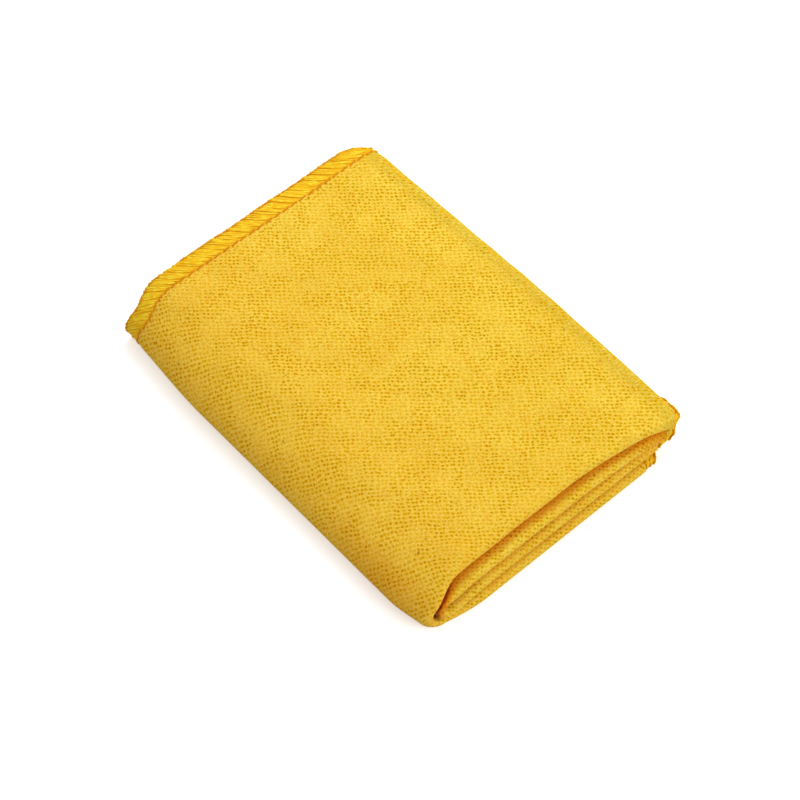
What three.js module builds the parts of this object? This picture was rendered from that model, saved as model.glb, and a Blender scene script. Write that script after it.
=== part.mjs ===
// A duster of brushed cotton, hemmed all round with overlock stitch and folded into a flat pack.
// The panel is folded in half lengthwise, then in half and in half again across, so four leaves of two
// plies lie on each other. Millimetres, +X across the pack, +Y from the folded noses to the hem, +Z up.
import * as THREE from 'three';

// Driving dimensions of the cloth and of the pack
const packWidth = 90;
const leafDepth = 119;
const plyThickness = 1.4;
const plyGap = 0.3;
const leafGap = 0.3;
const hemWidth = 5.6;
const hemThickness = 1.4;
const hemEdgeRound = 0.6;

// How far each leaf's nose lies behind the bottom leaf's, because the stack has slid
const thirdSetback = 1.3;
const secondSetback = 2.7;
const topSetback = 5.9;

// The outer turn's nose has this setback where the turn is steepest. Towards the right fold the noses of
// the top and the second leaf come forward again
const tipSetback = 3.3;
const topForward = 4.6;
const secondForward = 1.6;
const forwardReach = 36;

// Places along the width: where the rigid leaves end and their turns begin
const outerTurnWidth = 21;
const outerTurnRise = 3;
const innerTurnInset = 9;
const innerTurnReach = 2.15;
const pressStartInset = 23;

// Free ends of the third and the bottom leaf stop this far short of the right side
const thirdEndInset = 0.9;
const bottomEndInset = 7;

// How the pack has settled: it swells a little, and its corners are drawn in or rounded
const swellHeight = 0.3;
const swellLength = 74;
const nearCornerPull = 2;
const nearCornerReach = 16;
const farLeftPull = 2;
const farLeftReach = 36;
const leftTaper = 1.2;
const rightTaper = 1.2;
const rightTaperReach = 80;
const nearRightPull = 4.6;
const nearRightReach = 6.5;
const farRightPull = 6;
const rightCornerWidth = 20;

// The outer turn's inner ply rolls inwards at its near end
const nearRoll = 1.6;
const nearRollReach = 12;

// Shares of full thickness and height left where the left folds press the layers together
const pressedShare = 0.72;
const innerTurnHalfShare = 0.87;
const secondDroopShare = 0.125;
const farRightSinkShare = 0.2;
const farSkewShare = 0.018;
const farStartShare = 0.25;
const farLengthShare = 0.75;
const tipRiseStartShare = 0.35;
const tipRiseLengthShare = 0.45;

// Smoothness of the solids, in steps
const noseSteps = 8;
const turnSteps = 10;
const tipSteps = 5;
const flatSteps = 8;
const wideTurnSteps = 9;
const leafDepthShares = [1, 0.82, 0.6, 0.36, 0.16, 0.105, 0.07, 0.045, 0.03, 0.015];

const leafThickness = 2 * plyThickness + plyGap;
const leafHalf = leafThickness / 2;
const leafPitch = leafThickness + leafGap;
const stackHeight = 4 * leafThickness + 3 * leafGap;
const plyOffsetShare = (leafThickness - plyThickness) / leafThickness;
const plyHalfShare = plyThickness / leafThickness;
const hemHalfShare = hemThickness / leafThickness;
const leftSide = -packWidth / 2;
const rightSide = packWidth / 2;
const packDepth = leafDepth + topSetback;
const nearSide = -packDepth / 2;
const turnRadius = leafPitch / 2;
const rightTurnX = rightSide - turnRadius - leafHalf;
const outerTurnX = leftSide + outerTurnWidth;
const innerTurnX = leftSide + innerTurnInset;
const pressStartX = leftSide + pressStartInset;

const clothColour = new THREE.Color('#f2cb44');
const hemColour = new THREE.Color('#f7b81c');

function clothMaterial(colour) {
  return new THREE.MeshStandardMaterial({ color: colour, roughness: 0.95, metalness: 0 });
}

function smooth(share) {
  const t = Math.min(Math.max(share, 0), 1);
  return t * t * (3 - 2 * t);
}

function mix(a, b, share) {
  return a + (b - a) * share;
}

// Share of full thickness at a place across the pack: the layers thin out towards the left folds
function pressAt(x) {
  return mix(1, pressedShare, smooth((pressStartX - x) / (pressStartX - innerTurnX)));
}

// Height of each leaf's middle surface
const level = {
  bottom: (x) => pressAt(x) * leafHalf,
  third: (x) => pressAt(x) * (leafHalf + leafPitch),
  second: (x) => {
    const droop = secondDroopShare * smooth((pressStartX - x) / (pressStartX - innerTurnX));
    return (leafHalf + 2 * leafPitch) * (1 - droop);
  },
  top: () => leafHalf + 3 * leafPitch,
};

const setback = { bottom: 0, third: thirdSetback, second: secondSetback, top: topSetback };

// A station of a fold path: a point of the leaf's middle surface, half its thickness, its setback, how far
// its inner ply rolls inwards at the nose and how far the nose alone comes forward
function station(x, z, half, back, roll = 0, forward = 0) {
  return { x, z, half, back, roll, forward };
}

// Falls from one at an edge to none at the reach, as a rounded corner does
function cornerShare(distance, reach) {
  return Math.min(Math.max(1 - distance / reach, 0), 1) ** 2;
}

const forward = { bottom: 0, third: 0, second: secondForward, top: topForward };

function forwardAt(name, x) {
  return forward[name] * cornerShare(rightTurnX - x, forwardReach);
}

function flatRun(name, fromX, toX, steps) {
  const run = [];
  for (let i = 0; i <= steps; i += 1) {
    const x = mix(fromX, toX, i / steps);
    run.push(station(x, level[name](x), pressAt(x) * leafHalf, setback[name], 0, forwardAt(name, x)));
  }
  return run;
}

// The right fold: the top leaf turns down into the second in a half circle
function rightTurn() {
  const run = [];
  const centreZ = (level.top() + level.second(rightTurnX)) / 2;
  for (let i = 0; i <= turnSteps; i += 1) {
    const share = i / turnSteps;
    const angle = Math.PI * (0.5 - share);
    const x = rightTurnX + turnRadius * Math.cos(angle);
    const z = centreZ + turnRadius * Math.sin(angle);
    const back = mix(topSetback, secondSetback, share);
    run.push(station(x, z, leafHalf, back, 0, mix(topForward, secondForward, share)));
  }
  return run;
}

// The inner left fold: the third leaf turns up into the second round a small open loop
function innerTurn() {
  const lowZ = level.third(innerTurnX);
  const highZ = level.second(innerTurnX);
  const edgeHalf = pressAt(innerTurnX) * leafHalf;
  const run = [];
  for (let i = 0; i <= turnSteps; i += 1) {
    const share = i / turnSteps;
    const angle = Math.PI * share;
    const x = innerTurnX - innerTurnReach * Math.sin(angle);
    const z = mix(lowZ, highZ, (1 - Math.cos(angle)) / 2);
    const half = mix(edgeHalf, innerTurnHalfShare * leafHalf, Math.sin(angle));
    run.push(station(x, z, half, mix(thirdSetback, secondSetback, share)));
  }
  return run;
}

// The outer left fold: the bottom leaf turns up and slopes back into the top leaf
function outerTurn() {
  const tipHalf = pressedShare * leafHalf;
  const tipX = leftSide + tipHalf;
  const tipZ = tipHalf + outerTurnRise;
  const run = flatRun('bottom', outerTurnX, tipX + outerTurnRise, flatSteps);
  for (let i = 1; i <= tipSteps; i += 1) {
    const angle = (Math.PI / 2) * (i / tipSteps);
    const x = tipX + outerTurnRise * (1 - Math.sin(angle));
    run.push(station(x, tipZ - outerTurnRise * Math.cos(angle), tipHalf, 0, nearRoll * Math.sin(angle)));
  }
  run.forEach((s, i) => {
    s.back = tipSetback * smooth(i / (flatSteps + tipSteps));
  });
  const reach = outerTurnX - tipX;
  const rise = level.top() - tipZ;
  for (let i = 1; i <= wideTurnSteps; i += 1) {
    const angle = (Math.PI / 2) * (i / wideTurnSteps);
    const x = tipX + reach * (1 - Math.cos(angle));
    const roll = nearRoll * Math.cos(angle) ** 8;
    const risen = smooth((i / wideTurnSteps - tipRiseStartShare) / tipRiseLengthShare);
    const back = mix(tipSetback, topSetback, risen);
    run.push(station(x, tipZ + rise * Math.sin(angle), pressAt(x) * leafHalf, back, roll));
  }
  return run;
}

// Unit normal of the path at each station, in the plane across the folds. Ends stay square to the leaf.
function withNormals(run) {
  return run.map((s, i) => {
    const before = run[Math.max(i - 1, 0)];
    const after = run[Math.min(i + 1, run.length - 1)];
    let dx = after.x - before.x;
    let dz = after.z - before.z;
    if (i === 0 || i === run.length - 1) {
      dx = Math.sign(dx);
      dz = 0;
    }
    const length = Math.hypot(dx, dz);
    return { ...s, nx: -dz / length, nz: dx / length };
  });
}

// Moves a point of the ideal pack to where the settled pack has it. The underside stays flat
function settle({ x, y, z }) {
  const far = smooth((y / packDepth + farStartShare) / farLengthShare);
  const right = smooth((x - leftSide) / packWidth);
  const left = smooth((outerTurnX - x) / outerTurnWidth);
  const corner = smooth((x - rightSide + rightCornerWidth) / rightCornerWidth);
  const swell = swellHeight * Math.sin((2 * Math.PI * y) / swellLength) * Math.cos((Math.PI * x) / packWidth);
  const fromNear = y - nearSide;
  const fromFar = -nearSide - y;
  const drawnIn =
    nearCornerPull * smooth(1 - fromNear / nearCornerReach) +
    farLeftPull * smooth(1 - fromFar / farLeftReach) +
    (leftTaper * fromNear) / packDepth;
  const drawnBack = rightTaper * smooth(1 - fromFar / rightTaperReach);
  const rounded =
    nearRightPull * cornerShare(fromNear, nearRightReach) + farRightPull * cornerShare(fromFar, hemWidth);
  return new THREE.Vector3(
    x + drawnIn * left - drawnBack * right ** 2 - rounded * corner,
    y - farSkewShare * x * far,
    z * (1 - farRightSinkShare * far * right) + (swell * z) / stackHeight,
  );
}

// Puts a section's points, given as depth y and offset n from the middle surface, at a station
function place(s, points) {
  return points.map(([y, n]) => settle({ x: s.x + n * s.nx, y, z: s.z + n * s.nz }));
}

// Faces that close one end of a section, as a strip between its outside and its inside
function endCap(count) {
  const faces = [];
  let i = 0;
  let j = count - 1;
  while (i + 1 < j) {
    faces.push([i, i + 1, j]);
    i += 1;
    if (i + 1 < j) {
      faces.push([i, j - 1, j]);
      j -= 1;
    }
  }
  return faces;
}

// A closed solid through rings of points
function solidFromRings(rings) {
  const positions = rings.flat().flatMap((p) => [p.x, p.y, p.z]);
  const count = rings[0].length;
  const index = [];
  for (let r = 0; r < rings.length - 1; r += 1) {
    for (let i = 0; i < count; i += 1) {
      const a = r * count + i;
      const b = r * count + ((i + 1) % count);
      index.push(a, b, a + count, b, b + count, a + count);
    }
  }
  const last = (rings.length - 1) * count;
  for (const [a, b, c] of endCap(count)) {
    index.push(a, c, b, last + a, last + b, last + c);
  }
  const geometry = new THREE.BufferGeometry();
  geometry.setAttribute('position', new THREE.Float32BufferAttribute(positions, 3));
  geometry.setIndex(signedVolume(positions, index) < 0 ? index.reverse() : index);
  geometry.computeVertexNormals();
  return geometry;
}

function signedVolume(positions, index) {
  const at = (i) => new THREE.Vector3().fromArray(positions, 3 * i);
  let volume = 0;
  for (let i = 0; i < index.length; i += 3) {
    volume += at(index[i]).dot(at(index[i + 1]).cross(at(index[i + 2])));
  }
  return volume;
}

// Section of a leaf: two plies joined by a round nose, open between them, ending at the hem's stitch line
function leafSection(s) {
  const noseRadius = s.half + s.roll / 2;
  const noseY = nearSide + s.back - s.forward + noseRadius;
  const farY = nearSide + s.back + leafDepth - hemWidth;
  const ply = plyHalfShare * s.half * 2;
  const depths = leafDepthShares.map((share) => mix(noseY, farY, share));
  const rolled = (y) => s.roll * smooth(1 - (y - noseY) / nearRollReach);
  const upperOutside = depths.map((y) => [y, s.half]);
  const outsideNose = arc(noseY, -s.roll / 2, noseRadius);
  const lowerOutside = [...depths].reverse().map((y) => [y, -s.half - rolled(y)]);
  const lowerInside = depths.map((y) => [y, ply - s.half - rolled(y)]);
  const insideNose = arc(noseY, -s.roll / 2, noseRadius - ply).reverse();
  const upperInside = [...depths].reverse().map((y) => [y, s.half - ply]);
  return [upperOutside, outsideNose, lowerOutside, lowerInside, insideNose, upperInside].flat();
}

// Half circle of a nose, from its upper to its lower end
function arc(y, n, radius) {
  return Array.from({ length: noseSteps + 1 }, (_, i) => {
    const angle = Math.PI / 2 + (Math.PI * i) / noseSteps;
    return [y + radius * Math.cos(angle), n + radius * Math.sin(angle)];
  });
}

// Section of the hem on one ply's far edge. The side is 1 on a leaf's upper ply and -1 on its lower
function farHemSection(s, side) {
  const startY = nearSide + s.back + leafDepth - hemWidth;
  const middle = side * plyOffsetShare * s.half;
  return hemSection(s.half).map(([u, n]) => [startY + u, middle + n]);
}

function sweepLeaf(run) {
  return solidFromRings(withNormals(run).map((s) => place(s, leafSection(s))));
}

function sweepHem(run, side) {
  return solidFromRings(withNormals(run).map((s) => place(s, farHemSection(s, side))));
}

// Where the cloth of a free end meets its hem
const endLine = {
  third: rightSide - thirdEndInset - hemWidth,
  bottom: rightSide - bottomEndInset - hemWidth,
};

// Far hem of a leaf with a free end: its stations are the leaf's, and then those of the end's own hem
function hemOfFreeLeaf(name, run, side) {
  const last = run[run.length - 1];
  const beyond = hemSection(last.half)
    .slice(1, 4)
    .map(([u]) => ({ ...last, x: endLine[name] + u }));
  return sweepHem([...run, ...beyond], side);
}

// Section of a hem, from the stitch line across to the rounded outer edge and back
function hemSection(leafHalfHere) {
  const half = hemHalfShare * leafHalfHere;
  const roundStart = hemWidth - hemEdgeRound;
  const roundMiddle = hemWidth - hemEdgeRound * (1 - Math.SQRT1_2);
  return [
    [0, half],
    [roundStart, half],
    [roundMiddle, half * Math.SQRT1_2],
    [hemWidth, 0],
    [roundMiddle, -half * Math.SQRT1_2],
    [roundStart, -half],
    [0, -half],
  ];
}

// Hem of a free end: it runs along the lower ply, round the nose and back along the upper ply
function endHem(name) {
  const s = withNormals(flatRun(name, rightTurnX - leafPitch, rightTurnX, 1))[1];
  const noseY = nearSide + s.back + s.half;
  const farY = nearSide + s.back + leafDepth - hemWidth;
  const radius = plyOffsetShare * s.half;
  const line = leafDepthShares.map((share) => [mix(noseY, farY, share), radius, 0, 1]);
  for (let i = 0; i <= noseSteps; i += 1) {
    const angle = Math.PI / 2 + (Math.PI * i) / noseSteps;
    const [c, v] = [Math.cos(angle), Math.sin(angle)];
    line.push([noseY + radius * c, radius * v, c, v]);
  }
  line.push(...[...leafDepthShares].reverse().map((share) => [mix(noseY, farY, share), -radius, 0, -1]));
  const section = hemSection(s.half);
  const rings = line.map(([y, n, ny, nn]) =>
    section.map(([u, v]) => settle({ x: endLine[name] + u, y: y + v * ny, z: s.z + n + v * nn })),
  );
  return solidFromRings(rings);
}

const duster = new THREE.Group();

function addPiece(name, geometry, colour) {
  const piece = new THREE.Mesh(geometry, clothMaterial(colour));
  piece.name = name;
  duster.add(piece);
}

// The four leaves
const topRun = flatRun('top', outerTurnX, rightTurnX, flatSteps);
const secondRun = flatRun('second', innerTurnX, rightTurnX, flatSteps);
const thirdRun = flatRun('third', innerTurnX, endLine.third, flatSteps);
const bottomRun = flatRun('bottom', outerTurnX, endLine.bottom, flatSteps);
addPiece('leaf_top', sweepLeaf(topRun), clothColour);
addPiece('leaf_second', sweepLeaf(secondRun), clothColour);
addPiece('leaf_third', sweepLeaf(thirdRun), clothColour);
addPiece('leaf_bottom', sweepLeaf(bottomRun), clothColour);

// The three folds that join them, each with the hems of its two plies
const turns = { left_outer: outerTurn(), left_inner: innerTurn(), right: rightTurn() };
for (const [name, run] of Object.entries(turns)) {
  addPiece(`fold_${name}`, sweepLeaf(run), clothColour);
  addPiece(`hem_${name}_outside`, sweepHem(run, 1), hemColour);
  addPiece(`hem_${name}_inside`, sweepHem(run, -1), hemColour);
}

// Hems of the far side, one on each ply of each leaf
const plySides = { upper: 1, lower: -1 };
for (const [ply, side] of Object.entries(plySides)) {
  addPiece(`hem_top_${ply}`, sweepHem(topRun, side), hemColour);
  addPiece(`hem_second_${ply}`, sweepHem(secondRun, side), hemColour);
  addPiece(`hem_third_${ply}`, hemOfFreeLeaf('third', thirdRun, side), hemColour);
  addPiece(`hem_bottom_${ply}`, hemOfFreeLeaf('bottom', bottomRun, side), hemColour);
}

// Hems of the two free ends
addPiece('hem_end_third', endHem('third'), hemColour);
addPiece('hem_end_bottom', endHem('bottom'), hemColour);

// The pack is centred on the origin and rests on the ground plane
const middle = new THREE.Box3().setFromObject(duster).getCenter(new THREE.Vector3());
duster.children.forEach((piece) => piece.geometry.translate(-middle.x, -middle.y, 0));

export default duster;
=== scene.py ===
# %% [markdown]
# # A folded duster
# This lesson builds a small cleaning cloth: one panel of napped cotton twill with an overlocked hem,
# folded in half lengthwise and then in half and in half again across. It is made the way the real thing
# is: one long path of cloth that bends round three turns, with its sewn edge following it.

# %% The tools, and the measured frame that the cloth has to fit
import bpy
import math
import numpy as np
from mathutils import Matrix, Vector


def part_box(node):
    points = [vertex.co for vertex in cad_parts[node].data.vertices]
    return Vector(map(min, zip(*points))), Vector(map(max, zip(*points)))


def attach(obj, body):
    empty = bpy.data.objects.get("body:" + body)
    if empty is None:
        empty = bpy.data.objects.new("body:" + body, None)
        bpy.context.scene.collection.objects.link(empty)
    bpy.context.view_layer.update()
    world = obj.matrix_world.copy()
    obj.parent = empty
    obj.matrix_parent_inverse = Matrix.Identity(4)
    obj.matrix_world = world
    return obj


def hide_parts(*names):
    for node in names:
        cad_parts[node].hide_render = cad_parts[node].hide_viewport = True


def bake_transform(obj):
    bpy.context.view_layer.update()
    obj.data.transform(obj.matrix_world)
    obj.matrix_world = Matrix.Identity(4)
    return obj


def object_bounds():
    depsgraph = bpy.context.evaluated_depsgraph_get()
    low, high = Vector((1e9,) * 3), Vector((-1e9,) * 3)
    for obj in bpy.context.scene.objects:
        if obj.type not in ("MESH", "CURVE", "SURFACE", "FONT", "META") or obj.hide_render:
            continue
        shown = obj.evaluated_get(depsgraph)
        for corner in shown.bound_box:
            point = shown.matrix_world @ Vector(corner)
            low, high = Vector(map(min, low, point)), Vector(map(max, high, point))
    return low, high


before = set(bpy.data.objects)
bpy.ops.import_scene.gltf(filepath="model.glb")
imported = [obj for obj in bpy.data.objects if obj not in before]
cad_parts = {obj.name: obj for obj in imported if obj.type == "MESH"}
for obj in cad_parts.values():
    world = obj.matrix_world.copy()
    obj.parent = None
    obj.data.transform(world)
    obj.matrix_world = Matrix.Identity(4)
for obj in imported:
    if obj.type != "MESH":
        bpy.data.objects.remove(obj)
bounds_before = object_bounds()
print("frame:", len(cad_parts), "nodes,", [round(v * 1000, 1) for v in bounds_before[1]])

# %% [markdown]
# ## The camera
# The camera stands off the pack's near left corner, well above it and far away, so that the long sides
# stay almost parallel. It could be placed by eye, but here it is turned from two angles and a distance,
# because that keeps the view easy to change.

# %% The camera
VIEW_TURN = math.radians(-42.067)
VIEW_RISE = math.radians(58.036)
VIEW_DISTANCE = 1.1006
VIEW_TARGET = Vector((-0.00130, -0.00326, 0.0))
VIEW_LENS = 189.0
VIEW_END = 10.0

right = Vector((math.cos(VIEW_TURN), math.sin(VIEW_TURN), 0.0))
back = Vector((math.sin(VIEW_TURN) * math.cos(VIEW_RISE),
               -math.cos(VIEW_TURN) * math.cos(VIEW_RISE),
               math.sin(VIEW_RISE)))
up = back.cross(right)
turn = Matrix((right, up, back)).transposed().to_euler()
bpy.ops.object.select_all(action="DESELECT")
bpy.ops.object.camera_add(location=VIEW_TARGET + back * VIEW_DISTANCE, rotation=turn)
camera = bpy.context.object
camera.name = "camera"
camera.data.lens = VIEW_LENS
camera.data.clip_end = VIEW_END
bpy.context.scene.camera = camera
print("camera", [round(v, 3) for v in camera.location])

# %% [markdown]
# ## The sizes
# Millimetres are easier to think in for a cloth, so every size is written in them and turned into metres
# when a mesh is made. The folded pack has four leaves, each of two plies that join at a near nose. The
# leaves don't lie exactly on each other: a folded cloth shifts, so each leaf has its own setback at the
# near side, and the upper two swing forward toward the right.

# %% Driving sizes, in millimetres
PACK_WIDTH = 90.0
LEAF_DEPTH = 119.0
PLY, PLY_GAP, LEAF_GAP = 1.4, 0.3, 0.3
HEM_WIDTH, STITCH = 5.6, 3.0
SETBACK = {"bottom": 0.0, "third": 1.3, "second": 2.7, "top": 5.9}
FORWARD = {"bottom": 0.0, "third": 0.0, "second": 1.6, "top": 4.6}
FORWARD_REACH, TIP_SETBACK = 36.0, 3.3
OUTER_TURN_WIDTH, OUTER_TURN_RISE = 21.0, 3.0
# The inner turn sits so close inside the outer one, for a small mouth, that their faces cross a little
INNER_TURN_INSET, INNER_TURN_REACH = 7.8, 2.5
PRESS_START_INSET = 23.0
END_INSET = {"third": 0.9, "bottom": 7.0}
# The left side is pressed flatter than the right: shares of the height that the leaves keep or lose there
PRESSED, INNER_HALF, DROOP = 0.72, 0.87, 0.125

LEAF = 2 * PLY + PLY_GAP
HALF = LEAF / 2
PITCH = LEAF + LEAF_GAP
STACK = 4 * LEAF + 3 * LEAF_GAP
LEFT, RIGHT = -PACK_WIDTH / 2, PACK_WIDTH / 2
PACK_DEPTH = LEAF_DEPTH + SETBACK["top"]
NEAR = -PACK_DEPTH / 2
RIGHT_TURN_X = RIGHT - PITCH / 2 - HALF
OUTER_X = LEFT + OUTER_TURN_WIDTH
INNER_X = LEFT + INNER_TURN_INSET
PRESS_X = LEFT + PRESS_START_INSET
END_X = {name: RIGHT - END_INSET[name] for name in END_INSET}
CENTRE_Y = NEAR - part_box("leaf_bottom")[0][1] * 1000
print("stack", round(STACK, 1), "centre y", round(CENTRE_Y, 3))

# %% [markdown]
# ## The height of each leaf
# A leaf is almost level, but near the left turns the whole pack is pressed together. A smooth step from 0
# to 1 does all such changes here, because cloth never bends with a corner in its slope.

# %% Smooth steps and the height of a leaf
def smooth(t):
    t = np.clip(t, 0.0, 1.0)
    return t * t * (3 - 2 * t)


def mix(a, b, t):
    return a + (b - a) * t


def corner_share(distance, reach):
    """1 at a corner and 0 from reach on, with a round curve between."""
    return np.clip(1 - distance / reach, 0, 1) ** 2


def press(x):
    """The share of its thickness that a leaf keeps at x."""
    return mix(1.0, PRESSED, smooth((PRESS_X - x) / (PRESS_X - INNER_X)))


def level(name, x):
    """The height of the middle surface of a leaf at x."""
    if name == "bottom":
        return press(x) * HALF
    if name == "third":
        return press(x) * (HALF + PITCH)
    if name == "second":
        return (HALF + 2 * PITCH) * (1 - DROOP * smooth((PRESS_X - x) / (PRESS_X - INNER_X)))
    return HALF + 3 * PITCH + 0 * x


print("levels at the right", [round(float(level(name, RIGHT)), 2) for name in SETBACK])

# %% [markdown]
# ## Leaves and turns, station by station
# Seen from the near side, a leaf is a level stretch and a turn is an arc. Each is written as a list of
# stations, and a station holds six numbers: x, height, half the thickness, the nose's setback, how far
# the nose rolls under, and how far it comes forward. A curve could be drawn by hand, but written like
# this it follows the sizes.

# %% The stretches of the fold path
FLAT_STEP = 0.8
# The outer turn's setback grows in 8 parts under the pack and 5 round the tip, where the nose rolls under
UNDER_PARTS, TIP_PARTS, TIP_ROLL = 8, 5, 1.6
ALL_PARTS = UNDER_PARTS + TIP_PARTS


def flat(name, x0, x1):
    """The stations of a leaf from x0 to x1."""
    x = np.linspace(x0, x1, max(2, int(abs(x1 - x0) / FLAT_STEP) + 1))
    forward = FORWARD[name] * corner_share(RIGHT_TURN_X - x, FORWARD_REACH)
    return np.stack([x, level(name, x), press(x) * HALF, SETBACK[name] + 0 * x, 0 * x, forward], 1)


def outer_turn():
    """Left under the pack, round a small tip, then up in a wide arc into the top leaf."""
    tip_half = PRESSED * HALF
    tip_x, tip_z = LEFT + tip_half, tip_half + OUTER_TURN_RISE
    run = flat("bottom", OUTER_X, tip_x + OUTER_TURN_RISE)
    run[:, 3] = UNDER_PARTS / ALL_PARTS * np.linspace(0, 1, len(run))
    a = np.linspace(0, 1, 24)
    q = a * math.pi / 2
    x = tip_x + OUTER_TURN_RISE * (1 - np.sin(q))
    z = tip_z - OUTER_TURN_RISE * np.cos(q)
    share = (UNDER_PARTS + TIP_PARTS * a) / ALL_PARTS
    arc = np.stack([x, z, tip_half + 0 * q, share, TIP_ROLL * np.sin(q), 0 * q], 1)
    run = np.concatenate([run, arc[1:]])
    run[:, 3] = TIP_SETBACK * smooth(run[:, 3])
    a = np.linspace(0, 1, 48)
    q = a * math.pi / 2
    x = tip_x + (OUTER_X - tip_x) * (1 - np.cos(q))
    z = tip_z + (level("top", 0) - tip_z) * np.sin(q)
    back = mix(TIP_SETBACK, SETBACK["top"], smooth((a - 0.35) / 0.45))
    wide = np.stack([x, z, press(x) * HALF, back, TIP_ROLL * np.cos(q) ** 8, 0 * q], 1)
    return np.concatenate([run, wide[1:]])


def right_turn():
    """Half a circle down from the top leaf to the second."""
    a = np.linspace(0, 1, 30)
    q = math.pi * (0.5 - a)
    top, low = level("top", 0), level("second", RIGHT_TURN_X)
    x = RIGHT_TURN_X + PITCH / 2 * np.cos(q)
    z = (top + low) / 2 + PITCH / 2 * np.sin(q)
    back = mix(SETBACK["top"], SETBACK["second"], a)
    forward = mix(FORWARD["top"], FORWARD["second"], a)
    return np.stack([x, z, HALF + 0 * q, back, 0 * q, forward], 1)


def inner_turn():
    """The narrow turn from the second leaf to the third, hidden inside the outer one."""
    a = np.linspace(0, 1, 30)
    q = math.pi * a
    low, high = level("third", INNER_X), level("second", INNER_X)
    edge = press(INNER_X) * HALF
    x = INNER_X - INNER_TURN_REACH * np.sin(q)
    z = mix(high, low, (1 - np.cos(q)) / 2)
    half = mix(edge, INNER_HALF * HALF, np.sin(q))
    back = mix(SETBACK["second"], SETBACK["third"], a)
    return np.stack([x, z, half, back, 0 * q, 0 * q], 1)


RUNS = {
    "bottom": flat("bottom", END_X["bottom"], OUTER_X),
    "left_outer": outer_turn(),
    "top": flat("top", OUTER_X, RIGHT_TURN_X),
    "right": right_turn(),
    "second": flat("second", RIGHT_TURN_X, INNER_X),
    "left_inner": inner_turn(),
    "third": flat("third", INNER_X, END_X["third"]),
}
print("stations", {name: len(run) for name, run in RUNS.items()})

# %% [markdown]
# ## One path from end to end
# The cloth is one long line: it starts at the bottom leaf's free end, runs left, wraps up and over into
# the top leaf, turns down at the right, runs back, turns once more at the inner left and ends at the
# third leaf's free end. Joining the stretches into one measured path keeps the weave and the hem running
# on through every fold, which four separate slabs wouldn't.

# %% Joining the stretches
path, span, at = [], {}, 0.0
for name, run in RUNS.items():
    steps = np.hypot(np.diff(run[:, 0]), np.diff(run[:, 1]))
    s = at + np.concatenate([[0], np.cumsum(steps)])
    span[name] = (s[0], s[-1])
    flow = np.stack([np.gradient(run[:, 0]), np.gradient(run[:, 1])], 1)
    flow[[0, -1], 1] = 0.0
    flow /= np.linalg.norm(flow, axis=1, keepdims=True)
    rows = np.column_stack([s, run, -flow[:, 1], flow[:, 0]])
    path.append(rows if not path else rows[1:])
    at = s[-1]
path = np.concatenate(path)
print("path of", round(at, 1), "mm;", {k: round(v[1] - v[0], 1) for k, v in span.items()})

# %% [markdown]
# ## From flat cloth to folded cloth
# Every piece is drawn on the flat path first: how far along it, how deep from the near side, and how far
# off the leaf's middle surface. One function then bends that into the pack and lets it settle, so the
# cloth and its stitches can never drift apart. Settling draws the sides in toward the ends, rounds the
# right corners, skews the pack a little and lays soft waves over it. A physics run could do this too, but
# then the pack would no longer have its measured size.

# %% Bending and settling
# Each pair is an amount and the distance over which it fades out
LEFT_NEAR, LEFT_FAR, LEFT_SLANT = (2.0, 16.0), (2.0, 36.0), 1.2
RIGHT_FAR = (1.2, 80.0)
CORNER_NEAR, CORNER_FAR, CORNER_WIDTH = (4.6, 6.5), (6.0, HEM_WIDTH), 20.0
SKEW, FAR_SINK = 0.018, 0.2
SWELL, SWELL_LENGTH = 0.3, 74.0
# The small waves: height, how fast each runs along x and along y, and where it starts
WAVES = ((0.10, 0.31, 0.17, 1.0), (0.07, -0.23, 0.47, 0.0), (0.05, 0.6, 0.52, 0.0))


def drawn(size, distance):
    amount, reach = size
    return amount * smooth(1 - distance / reach)


def rounding(size, distance):
    amount, reach = size
    return amount * corner_share(distance, reach)


def settle_x(x, y):
    left = smooth((OUTER_X - x) / OUTER_TURN_WIDTH)
    from_near, from_far = y - NEAR, -NEAR - y
    drawn_in = drawn(LEFT_NEAR, from_near) + drawn(LEFT_FAR, from_far)
    drawn_in = drawn_in + LEFT_SLANT * from_near / PACK_DEPTH
    drawn_back = drawn(RIGHT_FAR, from_far) * smooth((x - LEFT) / PACK_WIDTH) ** 2
    rounded = rounding(CORNER_NEAR, from_near) + rounding(CORNER_FAR, from_far)
    near_corner = smooth((x - RIGHT + CORNER_WIDTH) / CORNER_WIDTH)
    return x + drawn_in * left - drawn_back - rounded * near_corner


# The pack is centred by its left side, where the outer fold is widest
left_side = np.linspace(NEAR, -NEAR, 400)
CENTRE_X = float(settle_x(LEFT, left_side).min()) - bounds_before[0][0] * 1000


def settle(x, y, z):
    far = smooth((y / PACK_DEPTH + 0.25) / 0.75)
    swell = SWELL * np.sin(2 * math.pi * y / SWELL_LENGTH) * np.cos(math.pi * x / PACK_WIDTH)
    swell += sum(rise * np.sin(per_x * x + per_y * y + start) for rise, per_x, per_y, start in WAVES)
    return np.stack([
        settle_x(x, y) - CENTRE_X,
        y - SKEW * x * far - CENTRE_Y,
        z * (1 - FAR_SINK * far * smooth((x - LEFT) / PACK_WIDTH)) + swell * z / STACK,
    ], -1) / 1000


def station(s):
    return [np.interp(s, path[:, 0], path[:, i]) for i in range(1, 9)]


def fold(s, y, n):
    """A point at s along the path, y deep and n off the middle surface, in metres in the folded pack."""
    s, y, n = np.broadcast_arrays(np.asarray(s, float), y, n)
    x, z, _, _, _, _, nx, nz = station(s)
    return settle(x + n * nx, y, z + n * nz)


print("centre x", round(CENTRE_X, 3))

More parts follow.
